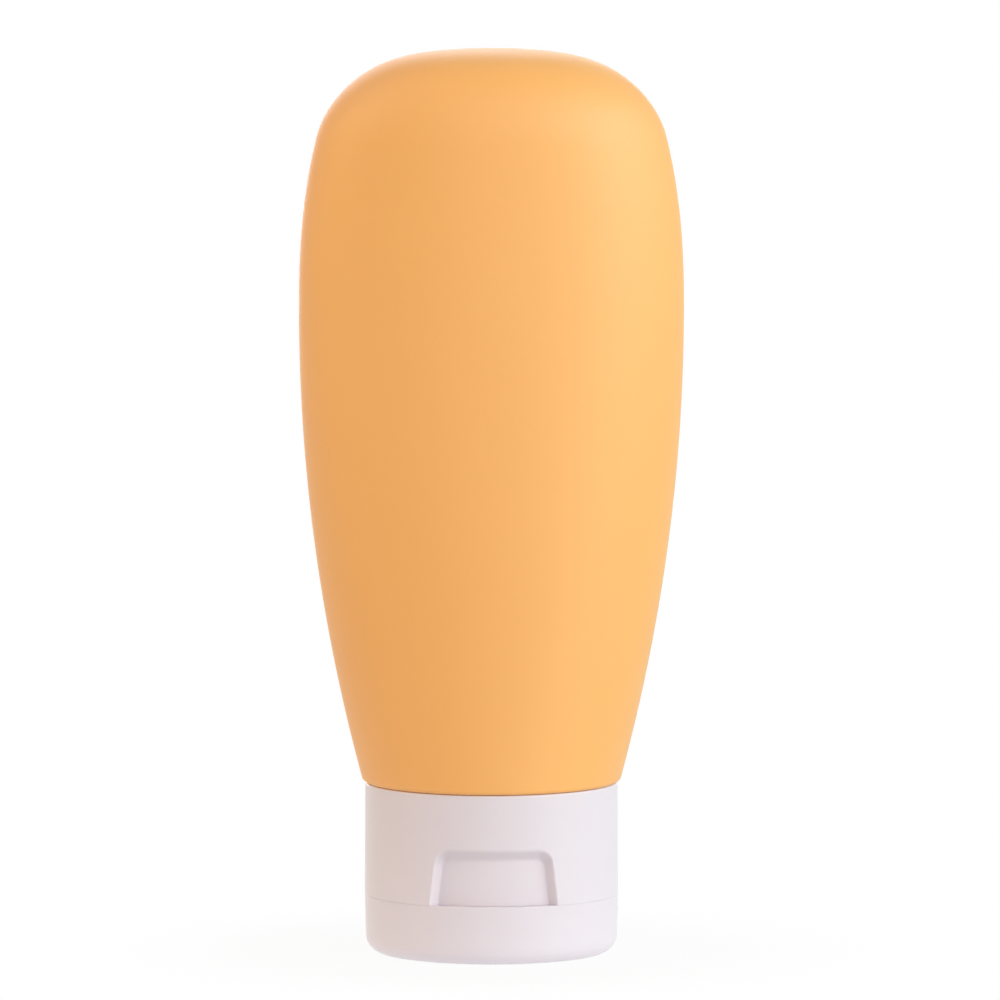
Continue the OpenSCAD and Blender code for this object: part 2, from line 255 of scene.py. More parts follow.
def refined(points, number, longest, closed):
    """Splits each stretch of an outline into equal shares no longer than the length given for its start."""
    following = np.roll(points, -1, axis=0)
    length = np.linalg.norm(following - points, axis=1)
    parts = np.maximum(np.ceil(length / longest), 1).astype(int)
    if not closed:
        parts[-1] = 1
    place_in_stretch = np.arange(parts.sum()) - np.repeat(np.cumsum(parts) - parts, parts)
    share = place_in_stretch / np.repeat(parts, parts)
    start = np.repeat(points, parts, axis=0)
    step = np.repeat(following - points, parts, axis=0)
    return start + step * share[:, None], np.repeat(number, parts)


def smooth_min(a, b, width):
    """The smaller of two values, joined softly.

    Where they differ by less than the width, it is lower by (width - |a - b|)^2 / (4 width).
    """
    near = np.maximum(width - np.abs(a - b), 0)
    return np.minimum(a, b) - near ** 2 / (4 * width)


def smooth_step(x):
    """Rises from 0 at x = 0 to 1 at x = 1 as 3 x^2 - 2 x^3, and is flat beyond both."""
    x = np.clip(x, 0, 1)
    return x * x * (3 - 2 * x)


def turned(radius, height, turns):
    """A grid of points at each radius and height, with turns counted from the front, -Y, towards +X."""
    height = np.broadcast_to(height, radius.shape)
    return np.stack([radius * np.sin(turns), -radius * np.cos(turns), height], axis=-1)


corner_test, _ = rounded(np.array([[0, 0, 1], [10, 0, 1], [10, 10, 1], [0, 10, 1]], float), True)
print(len(corner_test), "points round a square with rounded corners")

# %% [markdown]
# ## Screw threads
# The neck carries a coarse right-handed thread of two turns, and the sleeve in the cap has the matching
# one. Each is one ridge that climbs round the wall, so it can be a height laid over the plain wall: at any
# place, how far it lies from the nearest turn of the ridge says how high the ridge is there.

# %% Thread
thread_pitch = 3
thread_turns = 2
thread_root_w = 1.45
thread_crest_w = 0.7
thread_depth = 0.9
thread_gap = 0.3
thread_lead = 1.6
thread_fade = 0.1
thread_z = neck_z + thread_lead + thread_root_w / 2


def thread_height(turns, height, start):
    """Share of the thread's full height, from 0 on the plain wall to 1 on its crest.

    A place that lies t turns past the start of the thread is on a ridge whose middle is at thread_z + pitch
    t. The ridge falls from its crest width to its root width, and it fades in and out over a tenth of a
    turn.
    """
    past = np.mod((turns - start) / (2 * np.pi), 1)[..., None] + np.arange(thread_turns + 1)
    away = np.abs(height[..., None] - thread_z - thread_pitch * past)
    flank = (thread_root_w / 2 - away) / ((thread_root_w - thread_crest_w) / 2)
    fade = np.minimum(past, thread_turns - past) / thread_fade
    return np.max(smooth_step(flank) * smooth_step(fade), axis=-1)


print(f"thread from {thread_z:.2f} to {thread_z + thread_pitch * thread_turns:.2f}")

# %% [markdown]
# ## The blown body
# The body is a tube of hot plastic blown out against a split mould. It is round where it meets the cap,
# widest two thirds of the way up, and flattened towards its domed end. A subdivided cage could come near
# it, but its flanks and its square-shouldered dome follow simple formulas, and a formula keeps the curve
# true from every side. One closed skin runs from the top of the dome down over the outside, in over the
# shoulder, down the threaded neck, up through the bore and over the inside of the wall.

# %% Body sizes
foot_z = cap_top + FOOT_HAIR
body_h = top_z - foot_z
widest_z = 66.4
flank_fullness = 2.02
flank_draw = 2.4
flank_lateness = 2.4
shoulder_depth = 27
dome_h = 12.5
dome_crown = 0.17
dome_square = 5.2
dome_round = 2.1
foot_r = 0.6
foot_overhang = 0.25
body_wall = 1.2
shoulder_t = 1.4
neck_r = 10.2
bore_r = 8.8
neck_root_r = 1
neck_rim_r = 0.3
bore_root_r = 0.5
flank_h = body_h - dome_h
foot_edge_r = cap_r + foot_overhang


def half_width(h):
    """Half the body's width at a height over its lower edge.

    Up to the widest place the flank swells by 1 - (1 - h / widest) ^ fullness, and above it draws in by a
    power.
    """
    rise = 1 - np.minimum(h, widest_z) / widest_z
    above = np.maximum(h - widest_z, 0) / (flank_h - widest_z)
    swell = (body_w / 2 - foot_edge_r) * (1 - rise ** flank_fullness)
    return foot_edge_r + swell - flank_draw * above ** flank_lateness


def half_depth(h):
    """Half the body's depth: round at the lower edge, and thinner with the square of the height."""
    return foot_edge_r - (foot_edge_r - shoulder_depth / 2) * (h / flank_h) ** 2


def evenly(curve, count):
    """Picks count rows of a finely drawn curve, spaced evenly along it as it is seen from the front."""
    step = np.linalg.norm(np.diff(curve[:, [0, -1]], axis=0), axis=1)
    along = np.concatenate([[0], np.cumsum(step)])
    places = np.linspace(0, along[-1], count)
    return np.stack([np.interp(places, along, curve[:, k]) for k in range(curve.shape[1])], axis=-1)


print(f"half width at the dome {half_width(flank_h):.2f}, half depth {half_depth(flank_h):.2f}")

# %% [markdown]
# The dome is a superellipse from the side and carries a shallow crown, so that its top is nearly flat and
# its shoulders are square. Its rows are drawn finely by angle and then spaced evenly, because equal angles
# would crowd them at the middle.

# %% Rows of the body, as half width, half depth and height
FINE_ANGLES = 4000


def dome_rows(wall, count):
    """Rows of the dome from near its pole to its rim, a wall's thickness inside the outer skin.

    At angle a from the pole, q = sin(a) ^ (2 / square) is the share of the half width, and the dome has
    risen by 1 - crown q^2 - (1 - crown)(1 - cos(a) ^ (2 / round)).
    """
    angle = np.pi / 2 * np.linspace(0, 1, FINE_ANGLES) ** 3
    q = np.sin(angle) ** (2 / dome_square)
    rise = 1 - dome_crown * q ** 2 - (1 - dome_crown) * (1 - np.abs(np.cos(angle)) ** (2 / dome_round))
    h = flank_h + dome_h * rise
    width, depth = (half_width(h) - wall) * q, (half_depth(h) - wall) * q
    curve = np.stack([width, depth, foot_z + h - wall * rise], axis=-1)
    return evenly(curve, count)[1:]


def flank_rows(from_h, to_h, wall, count):
    """Rows of the flank between two heights, without the first."""
    h = np.linspace(from_h, to_h, count)[1:]
    return np.stack([half_width(h) - wall, half_depth(h) - wall, foot_z + h], axis=-1)


def round_rows(points):
    """Rows of a round part, where the half width and the half depth are the same radius."""
    return points[:, [0, 0, 1]]


OUTER_EDGE_ROWS = 13
INNER_EDGE_ROWS = 7
edge_angle = np.linspace(0, np.pi / 2, OUTER_EDGE_ROWS)[1:]
edge_h = foot_r * (1 - np.sin(edge_angle))
edge_inset = foot_r * (1 - np.cos(edge_angle))
foot_rows = np.stack([half_width(edge_h) - edge_inset, half_depth(edge_h) - edge_inset,
                      foot_z + edge_h], axis=-1)
inside_h = shoulder_t + foot_r
inner_angle = np.linspace(0, np.pi / 2, INNER_EDGE_ROWS)
inner_inset = body_wall + foot_r * (1 - np.sin(inner_angle))
inner_edge = np.stack([half_width(inside_h) - inner_inset, half_depth(inside_h) - inner_inset,
                       foot_z + shoulder_t + foot_r * (1 - np.cos(inner_angle))], axis=-1)
print(len(foot_rows), "rows round the lower edge, the last at radius", round(float(foot_rows[-1, 0]), 2))

# %% The neck, from the shoulder down to its rim and up through the bore
THREAD_ROW = 0.2
NECK_ROW = 1
shoulder_r = foot_edge_r - foot_r
neck_corners = np.array([
    [shoulder_r, foot_z, 0],
    [neck_r, foot_z, neck_root_r],
    [neck_r, neck_z, neck_rim_r],
    [bore_r, neck_z, neck_rim_r],
    [bore_r, foot_z + shoulder_t, bore_root_r],
    [shoulder_r - body_wall, foot_z + shoulder_t, 0]])
neck_points, neck_number = rounded(neck_corners, False)
neck_spacing = np.where(neck_number == 1, THREAD_ROW, NECK_ROW)
neck_points, _ = refined(neck_points, neck_number, neck_spacing, False)
print(len(neck_points), "rows along the neck")

# %% The whole body
BODY_COLUMNS = 192
OUTER_DOME_ROWS = 64
OUTER_FLANK_ROWS = 120
INNER_FLANK_ROWS = 50
INNER_DOME_ROWS = 30
body_turns = np.linspace(0, 2 * np.pi, BODY_COLUMNS, endpoint=False)
body_rows = np.concatenate([
    dome_rows(0, OUTER_DOME_ROWS),
    flank_rows(flank_h, foot_r, 0, OUTER_FLANK_ROWS),
    foot_rows,
    round_rows(neck_points),
    inner_edge,
    flank_rows(inside_h, flank_h, body_wall, INNER_FLANK_ROWS),
    dome_rows(body_wall, INNER_DOME_ROWS)[::-1][1:]])
body_x = body_rows[:, [0]] * np.sin(body_turns)
body_y = -body_rows[:, [1]] * np.cos(body_turns)
body_z = np.broadcast_to(body_rows[:, [2]], body_x.shape)
on_neck = np.isclose(body_rows[:, [0]], neck_r)
thread = thread_height(np.broadcast_to(body_turns, body_x.shape), body_z, np.pi / 2)
ridge = np.where(on_neck, thread_depth * thread, 0)
ridge_x = ridge * np.sin(body_turns)
ridge_y = ridge * np.cos(body_turns)
body_grid = np.stack([body_x + ridge_x, body_y - ridge_y, body_z], axis=-1)
bottle = add_piece("squeeze_body", [(body_grid, [[0, 0, top_z], [0, 0, top_z - body_wall]])])

# %% [markdown]
# ## The cap base
# The base is injection moulded in one shot: an outer skirt, a deck, a threaded sleeve, a plinth that the
# lid shuts over and a nozzle. Its outline is a closed loop turned round the axis. Two things break the
# roundness: the thumb recess at the front, with a floor at an even depth and sloping sides, and the flat at
# the back that carries the hinge. Boolean cuts would leave hard creases there. Instead the radius of the wall
# is worked out for each turn and height, and the smaller of the round wall and the recess is taken with a
# soft join, which is what a mould's rounded edge leaves.

# %% Cap sizes
skirt_wall = 1.3
rim_r = 0.3
deck_t = 1.6
deck_z = base_z + deck_t
sleeve_r = neck_r + thread_depth + thread_gap
sleeve_wall = 1.2
sleeve_rim = 0.9
sleeve_top = thread_z + thread_pitch * thread_turns + thread_root_w / 2 + sleeve_rim
plinth_h = 1.15
plinth_wall = 1.2
plinth_gap = 0.3
lid_wall = 1.2
plinth_r = lid_out_r - lid_wall - plinth_gap
spout_r = 1.8
nozzle_r = 4.2
nozzle_tip_r = 3.3
nozzle_round = 0.6
draft = 0.07
print(f"deck at {deck_z:.2f}, sleeve ends at {sleeve_top:.2f}, plinth radius {plinth_r:.2f}")

# %% Sizes of the hinge flat and of the thumb recess
hinge_w = 10
hinge_wall = 1.2
lid_swing_gap = 0.5
flat_y = np.sqrt(lid_out_r ** 2 - (hinge_w / 2) ** 2)
flat_top = seam_z + lid_h + lid_swing_gap
recess_w = 15.5
recess_h = 6.5
recess_depth = 1.5
recess_lean = 0.115
recess_side_flare = 0.8
recess_top_flare = 0.95
recess_r = 0.9
recess_r_flare = 0.65
recess_wall = 1.2
floor_r = cap_r - recess_depth
print(f"recess floor at radius {floor_r:.2f}, hinge flat {flat_y:.2f} behind the axis")

# %% [markdown]
# The columns of the cap pieces stand close together, a fifth of a degree apart, where the sides of the
# recess are, and one degree apart over the hinge flat. Elsewhere the wall is plainly round and needs few.

# %% Columns of the two cap pieces
SIDE_FROM = 21
SIDE_TO = 32
FLAT_FROM = 154
FLAT_TO = 206
SIDE_COLUMNS = 56
FLOOR_COLUMNS = 29
PLAIN_COLUMNS = 47
FLAT_COLUMNS = 53
side_turns = np.linspace(SIDE_FROM, SIDE_TO, SIDE_COLUMNS)
floor_turns = np.linspace(-SIDE_FROM, SIDE_FROM, FLOOR_COLUMNS)[1:-1]
right_turns = np.linspace(SIDE_TO, FLAT_FROM, PLAIN_COLUMNS)[1:-1]
flat_turns = np.linspace(FLAT_FROM, FLAT_TO, FLAT_COLUMNS)
left_turns = right_turns + FLAT_TO - SIDE_TO
cap_turns = np.radians(np.concatenate([
    -side_turns[::-1], floor_turns, side_turns, right_turns, flat_turns, left_turns]))
print(len(cap_turns), "columns round the cap")

# %% The thumb recess and the hinge flat, as radii
FAR = 1000
NEAR_TURN = np.radians(50)
EDGE_SOFTNESS = 0.35
FLAT_SOFTNESS = 0.06
LEAST_CORNER = 0.05
REACH_RANGE = -2.0, 5.0
HALVINGS = 26
FLAT_RUNOUT = 0.3
CLEAR_OF_SKIRT = 2
from_front = np.abs(np.mod(cap_turns + np.pi, 2 * np.pi) - np.pi)
from_back = np.pi - from_front
near_front = from_front < NEAR_TURN
near_back = from_back < NEAR_TURN
front_sin = np.where(near_front, np.sin(from_front), 0)
back_cos = np.where(near_back, np.cos(from_back), 1)


def back_plane(distance):
    """Radius at which each column meets a flat behind the axis: distance / cos(turn), and far elsewhere."""
    return np.where(near_back, distance / back_cos, FAR)


def recess_radius(height, grown):
    """Radius at which each column meets the side and top walls of the recess, grown by a wall's thickness.

    Further out the outline is wider and taller by its flares. At a reach past the floor, a column stands at
    x = (floor + reach) sin(turn). The reach at which it crosses the outline is found by halving an interval.
    """
    h = height - base_z
    shape = np.broadcast_shapes(h.shape, front_sin.shape)
    low, high = (np.broadcast_to(end, shape) for end in REACH_RANGE)
    for _ in range(HALVINGS):
        reach = (low + high) / 2
        corner = np.maximum(recess_r + recess_r_flare * reach + grown, LEAST_CORNER)
        side = (floor_r - grown + reach) * front_sin - recess_w / 2 - recess_side_flare * reach - grown
        side = (side + recess_lean * h) / np.hypot(1, recess_lean) + corner
        top = h - recess_h - recess_top_flare * reach - grown + corner
        outside = np.hypot(np.maximum(side, 0), np.maximum(top, 0))
        past = outside + np.minimum(np.maximum(side, top), 0) - corner
        low, high = np.where(past > 0, reach, low), np.where(past > 0, high, reach)
    return np.where(near_front, floor_r - grown + high, FAR)


def skirt_radius(height):
    """Radius of the outside of the base: the round skirt, cut by the recess and by the hinge flat.

    The skirt is a hair narrower at its rim than at the seam. That is the draft that lets it slide off the
    mould core. Over a short run-out at its top, the flat moves out until it clears the skirt.
    """
    skirt = cap_r - draft * (height - base_z) / (cap_top - base_z)
    recess = -smooth_min(-floor_r, -recess_radius(height, 0), EDGE_SOFTNESS)
    wall = smooth_min(skirt, recess, EDGE_SOFTNESS)
    flat = back_plane(flat_y)
    clear = cap_r + CLEAR_OF_SKIRT
    over = smooth_step((height - flat_top) / FLAT_RUNOUT + 0.5)
    flat = np.where(flat < clear, flat + (clear - flat) * over, FAR)
    return smooth_min(wall, flat, FLAT_SOFTNESS)


def inner_radius(height):
    """Radius of the inside of the skirt, which bulges in behind the recess and behind the hinge flat."""
    recess = np.maximum(floor_r - recess_wall, recess_radius(height, recess_wall))
    behind = np.where(height < flat_top + hinge_wall, back_plane(flat_y - hinge_wall), FAR)
    return smooth_min(smooth_min(cap_r - skirt_wall, recess, EDGE_SOFTNESS), behind, FLAT_SOFTNESS)


half_way = skirt_radius(np.array([[base_z + recess_h / 2]]))
print("least radius of the skirt, half way up the recess:", half_way.min().round(2))

# %% The cap base's outline, as corners [radius, height, fillet], named by what they belong to
BASE_CORNERS = [
    ("spout", spout_r, nozzle_z, 0.15),
    ("spout", spout_r, deck_z, 0.2),
    ("sleeve", sleeve_r, deck_z, 0.3),
    ("sleeve", sleeve_r, sleeve_top, 0.25),
    ("plain", sleeve_r + sleeve_wall, sleeve_top, 0.25),
    ("plain", sleeve_r + sleeve_wall, deck_z, 0.3),
    ("inside", cap_r - skirt_wall, deck_z, 0.3),
    ("inside", cap_r - skirt_wall, cap_top, 0.2),
    ("outside", cap_r, cap_top, rim_r),
    ("outside", cap_r, base_z, SEAM_EDGE_R),
    ("plinth", plinth_r, base_z, 0.05),
    ("plinth", plinth_r, base_z - plinth_h, 0.2),
    ("plinth", plinth_r - plinth_wall, base_z - plinth_h, 0.2),
    ("plinth", plinth_r - plinth_wall, base_z, 0.3),
    ("plain", nozzle_r, base_z, 0.3),
    ("plain", nozzle_tip_r, nozzle_z, nozzle_round)]
ROW_LENGTH = {"outside": 0.4, "sleeve": 0.25, "inside": 0.6, "plinth": 1, "spout": 1, "plain": 2}
FINE_ROW = 0.12
FINE_FROM = base_z + recess_h - 1
FINE_TO = base_z + recess_h + 2.4

base_names = np.array([corner[0] for corner in BASE_CORNERS])
base_points, base_number = rounded(np.array([corner[1:] for corner in BASE_CORNERS], float), True)
base_spacing = np.array([ROW_LENGTH[name] for name in base_names])
base_points, base_number = refined(base_points, base_number, base_spacing[base_number], True)
over_recess = (base_points[:, 1] > FINE_FROM) & (base_points[:, 1] < FINE_TO)
fine = over_recess & (base_names[base_number] == "outside")
base_points, base_number = refined(base_points, base_number, np.where(fine, FINE_ROW, FAR), True)
base_names = base_names[base_number][:, None]
base_height = base_points[:, [1]]
base_radius = np.broadcast_to(base_points[:, [0]], (len(base_points), len(cap_turns)))
print(len(base_points), "rows round the section of the cap base")

# %% The cap base
base_thread = thread_height(*np.broadcast_arrays(cap_turns, base_height), -np.pi / 2)
base_radius = base_radius + np.select(
    [base_names == name for name in ("outside", "inside", "plinth", "sleeve")],
    [skirt_radius(base_height) - cap_r,
     inner_radius(base_height) - (cap_r - skirt_wall),
     smooth_min(plinth_r, back_plane(flat_y - hinge_wall - plinth_gap), FLAT_SOFTNESS) - plinth_r,
     -thread_depth * base_thread], 0)
base = add_piece("cap_shell", [(turned(base_radius, base_height, cap_turns), None)])

# %% [markdown]
# ## The lid
# The lid is the bottle's foot: a plate and a wall in one curve, cut flat at the back for the hinge. The
# thumb lifts it by its rim under the recess. A stepped pin in its middle goes up into the spout. The imported
# lid is a plain cylinder a little narrower than the base. The real one meets the base flush at the seam and
# tapers to the foot, so that it leaves its mould, and its rim grips the plinth, so that no light falls in
# beside the recess. The outline runs from the top of the pin to the middle of the face that it stands on,
# so the grid has a pole at each end.

# %% The lid
lid_plate = 1.4
lid_edge_r = 2.5
SNAP_GAP = 0.08
lid_r = plinth_r + SNAP_GAP
SEAM_STEP = 0.02
LID_TAPER = 0.05
pin_r = 1.45
pin_tip_r = 1.05
pin_root_r = 2.2
pin_reach = 2
pin_top = nozzle_z + pin_reach
pin_step_z = lid_plate + (nozzle_z - lid_plate) / 2
LID_ROW = 1.5
GATE_R = 2.5
GATE_DEPTH = 0.15
LID_CORNERS = [
    ("plain", 0, pin_top, 0),
    ("plain", pin_r, pin_top, pin_tip_r),
    ("plain", pin_r, pin_step_z, 0.3),
    ("plain", pin_root_r, pin_step_z, 0.25),
    ("plain", pin_root_r, lid_plate, 0.5),
    ("inside", lid_r, lid_plate, lid_edge_r - lid_wall),
    ("inside", lid_r, lid_h, 0.07),
    ("outside", cap_r - SEAM_STEP, lid_h, 0.06),
    ("outside", lid_out_r - LID_TAPER, 0, lid_edge_r),
    ("plain", GATE_R, 0, 0.08),
    ("plain", GATE_R - GATE_DEPTH, GATE_DEPTH, 0.08),
    ("plain", 0.5, GATE_DEPTH, 0.05),
    ("plain", 0.4, GATE_DEPTH / 3, 0.03),
    ("plain", 0, GATE_DEPTH / 3, 0)]

lid_names = np.array([corner[0] for corner in LID_CORNERS])
lid_points, lid_number = rounded(np.array([corner[1:] for corner in LID_CORNERS], float), False)
lid_points, lid_number = refined(lid_points, lid_number, np.full(len(lid_points), LID_ROW), False)
lid_names = lid_names[lid_number][:, None]
lid_height = lid_points[:, [1]]
lid_radius = np.broadcast_to(lid_points[:, [0]], (len(lid_points), len(cap_turns)))
lid_inside = smooth_min(lid_r, back_plane(flat_y - hinge_wall), FLAT_SOFTNESS)
lid_outside = smooth_min(lid_radius, back_plane(flat_y), FLAT_SOFTNESS)
lid_radius = np.where(lid_names == "inside", lid_radius + lid_inside - lid_r, lid_radius)
lid_radius = np.where(lid_names == "outside", lid_outside, lid_radius)
lid_poles = [[0, 0, pin_top], [0, 0, GATE_DEPTH / 3]]
lid = add_piece("flip_lid", [(turned(lid_radius, lid_height, cap_turns), lid_poles)])

# %% [markdown]
# ## The film hinge
# Base and lid are moulded together, laid open, and the film between them is all that joins them. It is a
# strap with a narrow band on each side, thinnest on the line where it folds. Each strip is a rounded bar
# whose thickness follows its height, and its ends thin out into the flats that they are fused to. It has
# many rows along its length.

# %% The film hinge
strap_w = 5
band_w = 1.2
film_t = film_high[1] - film_low[1]
film_middle = (film_low + film_high) / 2
FILM_ROWS = 61
FILM_COLUMNS = 48
FILM_WAIST = 0.35
FILM_FOLD = 0.35
FILM_END = 0.2
FILM_TIP = 0.005
SQUARENESS = 6


def film_strip(middle_x, width):
    """A bar from the lid to the base, with the rounded section |x / a|^6 + |y / b|^6 = 1.

    Its thickness is thinned at the fold by a bell curve, and falls to nothing over the last fifth of a
    millimetre.
    """
    z = np.linspace(film_low[2] + FILM_TIP, film_high[2] - FILM_TIP, FILM_ROWS)[:, None]
    end = np.minimum(z - film_low[2], film_high[2] - z)
    waist = 1 - FILM_WAIST * np.exp(-((z - seam_z) / FILM_FOLD) ** 2)
    thick = film_t * waist * np.sqrt(smooth_step(end / FILM_END))
    angle = np.linspace(0, 2 * np.pi, FILM_COLUMNS, endpoint=False)
    power_sum = np.abs(np.cos(angle)) ** SQUARENESS + np.abs(np.sin(angle)) ** SQUARENESS
    square = power_sum ** (-1 / SQUARENESS)
    x = middle_x + (width / 2) * square * np.cos(angle) * np.ones_like(z)
    y = film_middle[1] + (thick / 2) * square * np.sin(angle)
    poles = [[middle_x, film_middle[1], film_low[2]], [middle_x, film_middle[1], film_high[2]]]
    return np.stack([x, y, np.broadcast_to(z, x.shape)], axis=-1), poles


band_x = (hinge_w - band_w) / 2
strips = [(-band_x, band_w), (0, strap_w), (band_x, band_w)]
hinge = add_piece("film_hinge", [film_strip(*strip) for strip in strips])

# %% [markdown]
# ## The sealing ring
# A flat ring lies on the deck and the neck presses on it. It is cut from a tube of soft plastic, so its
# edges are nearly square, with a small round that the eye reads as softness.

# %% The sealing ring
RING_COLUMNS = 144
ring_w = 2.4
ring_edge_r = 0.18
ring_r = ring_high[0]
ring_hole_r = ring_r - ring_w
ring_corners = np.array([
    [ring_hole_r, ring_low[2], ring_edge_r],
    [ring_r, ring_low[2], ring_edge_r],
    [ring_r, ring_high[2], ring_edge_r],
    [ring_hole_r, ring_high[2], ring_edge_r]])
ring_points, _ = rounded(ring_corners, True)
ring_turns = np.linspace(0, 2 * np.pi, RING_COLUMNS, endpoint=False)
ring_radius = np.broadcast_to(ring_points[:, [0]], (len(ring_points), len(ring_turns)))
seal = add_piece("sealing_ring", [(turned(ring_radius, ring_points[:, [1]], ring_turns), None)])

# %% [markdown]
# ## Materials
# Each material is a small net of nodes. One function adds a node, sets its values and joins it to others,
# so that a recipe reads as a list. A pattern's scale comes from its real size in millimetres. Object
# coordinates are metres on the finished pieces, so a noise of n millimetres has a scale of 1000 / n.

# %% Node helper


def new_material(name):
    """A material with an empty node tree, and that tree."""
    material = bpy.data.materials.new(name)
    material.use_nodes = True
    material.node_tree.nodes.clear()
    return material, material.node_tree


def node(tree, kind, settings=None, **inputs):
    """Adds a node. Settings are its own properties, and inputs are values or outputs, by socket name.

    A name that is an underscore and a number stands for the socket with that number.
    """
    made = tree.nodes.new("ShaderNode" + kind)
    for name, value in (settings or {}).items():
        setattr(made, name, value)
    for name, value in inputs.items():
        socket = made.inputs[int(name[1:])] if name[1:].isdigit() else made.inputs[name.replace("_", " ")]
        if isinstance(value, bpy.types.NodeSocket):
            tree.links.new(value, socket)
        else:
            socket.default_value = value
    return made


def scale_of(millimetres):
    """Noise scale that gives features of about that size on Object coordinates in metres."""
    return 1 / (millimetres * MM)


print("a noise of 0.4 mm has scale", scale_of(0.4))

# %% [markdown]
# ### Matt low-density polyethylene
# The body is polyethylene with an orange pigment, blown against a blasted mould. To the eye that is an
# even, satin skin: light spreads wide on it, the wall waves very slightly, and a fine grain breaks up any
# gloss. The wall is a little translucent, so its shadows stay warm. A hair-fine line where the mould's
# halves met runs up both sides and over the dome.

# %% Body material
GRAIN = 0.35
WAVE = 16
CLOUD = 40
PARTING_HALF = 0.16
body_plastic, tree = new_material("matt_polyethylene_apricot")
place = node(tree, "TexCoord").outputs["Object"]
cloud = node(tree, "TexNoise", Vector=place, Scale=scale_of(CLOUD), Detail=3)
colour = node(tree, "Mix", {"data_type": "RGBA"}, Factor=cloud.outputs["Fac"],
              _6=linear("#FEB55F"), _7=linear("#FEB963"))
grain = node(tree, "TexNoise", Vector=place, Scale=scale_of(GRAIN), Detail=2)
wave = node(tree, "TexNoise", Vector=place, Scale=scale_of(WAVE), Detail=1)
rough = node(tree, "MapRange", Value=grain.outputs["Fac"],
             From_Min=0.3, From_Max=0.7, To_Min=0.44, To_Max=0.52)
depth = node(tree, "SeparateXYZ", Vector=place)
from_line = node(tree, "Math", {"operation": "ABSOLUTE"}, _0=depth.outputs["Y"])
line = node(tree, "MapRange", {"interpolation_type": "SMOOTHSTEP"}, Value=from_line.outputs[0],
            From_Min=0, From_Max=PARTING_HALF * MM, To_Min=1, To_Max=0)
waves = node(tree, "Bump", Height=wave.outputs["Fac"], Distance=0.12 * MM, Strength=1)
ridged = node(tree, "Bump", Height=line.outputs[0], Distance=0.03 * MM, Strength=1, Normal=waves.outputs[0])
grained = node(tree, "Bump", Height=grain.outputs["Fac"], Distance=0.006 * MM, Strength=1,
               Normal=ridged.outputs[0])
skin = node(tree, "BsdfPrincipled", Base_Color=colour.outputs[2], Roughness=rough.outputs[0],
            Normal=grained.outputs[0], IOR=1.51)
skin.inputs["Subsurface Weight"].default_value = 0.12
skin.inputs["Subsurface Radius"].default_value = (1, 0.45, 0.2)
skin.inputs["Subsurface Scale"].default_value = 1.5 * MM
skin.inputs["Specular IOR Level"].default_value = 0.85
node(tree, "OutputMaterial", Surface=skin.outputs[0])
print(body_plastic.name, len(tree.nodes), "nodes")

# %% [markdown]
# ### Moulded polypropylene
# The cap is polypropylene with a white pigment that leans to pink. It comes from a polished mould, so it
# has a satin gloss, broken by faint flow waves and by a fine speckle in its roughness.

# %% Cap material
FLOW = 7
SPECK = 0.5
cap_plastic, tree = new_material("moulded_polypropylene_white")
place = node(tree, "TexCoord").outputs["Object"]
flow = node(tree, "TexNoise", Vector=place, Scale=scale_of(FLOW), Detail=2, Distortion=0.6)
speck = node(tree, "TexNoise", Vector=place, Scale=scale_of(SPECK), Detail=2)
colour = node(tree, "Mix", {"data_type": "RGBA"}, Factor=flow.outputs["Fac"],
              _6=linear("#E8DFE6"), _7=linear("#EAE2E9"))
rough = node(tree, "MapRange", Value=speck.outputs["Fac"],
             From_Min=0.3, From_Max=0.7, To_Min=0.28, To_Max=0.34)
flowing = node(tree, "Bump", Height=flow.outputs["Fac"], Distance=0.03 * MM, Strength=1)
specked = node(tree, "Bump", Height=speck.outputs["Fac"], Distance=0.002 * MM, Strength=1,
               Normal=flowing.outputs[0])
skin = node(tree, "BsdfPrincipled", Base_Color=colour.outputs[2], Roughness=rough.outputs[0],
            Normal=specked.outputs[0], IOR=1.49)
skin.inputs["Subsurface Weight"].default_value = 0.1
skin.inputs["Subsurface Radius"].default_value = (1, 0.8, 0.7)
skin.inputs["Subsurface Scale"].default_value = 1 * MM
node(tree, "OutputMaterial", Surface=skin.outputs[0])
print(cap_plastic.name, len(tree.nodes), "nodes")

# %% [markdown]
# ### Foamed polyethylene
# The ring is a soft foamed plastic with closed cells. It is matt and off-white, and its cells show as fine
# pits. Its colour is painted a little darker towards the middle of each cell, as painted shade in the pits.

# %% Ring material
CELL = 0.3
ring_foam, tree = new_material("foamed_polyethylene_liner")
place = node(tree, "TexCoord").outputs["Object"]
cells = node(tree, "TexVoronoi", Vector=place, Scale=scale_of(CELL))
# Painted shade: the colour is darkest at the middle of each cell, where its pit is deepest.
pit_shade_tint = node(tree, "Mix", {"data_type": "RGBA"}, Factor=cells.outputs["Distance"],
            _6=linear("#DEDBD6"), _7=linear("#EAE7E3"))
pitted = node(tree, "Bump", Height=cells.outputs["Distance"], Distance=0.02 * MM, Strength=1)
skin = node(tree, "BsdfPrincipled", Base_Color=pit_shade_tint.outputs[2], Roughness=0.75,
            Normal=pitted.outputs[0], IOR=1.5)
node(tree, "OutputMaterial", Surface=skin.outputs[0])
print(ring_foam.name, len(tree.nodes), "nodes")
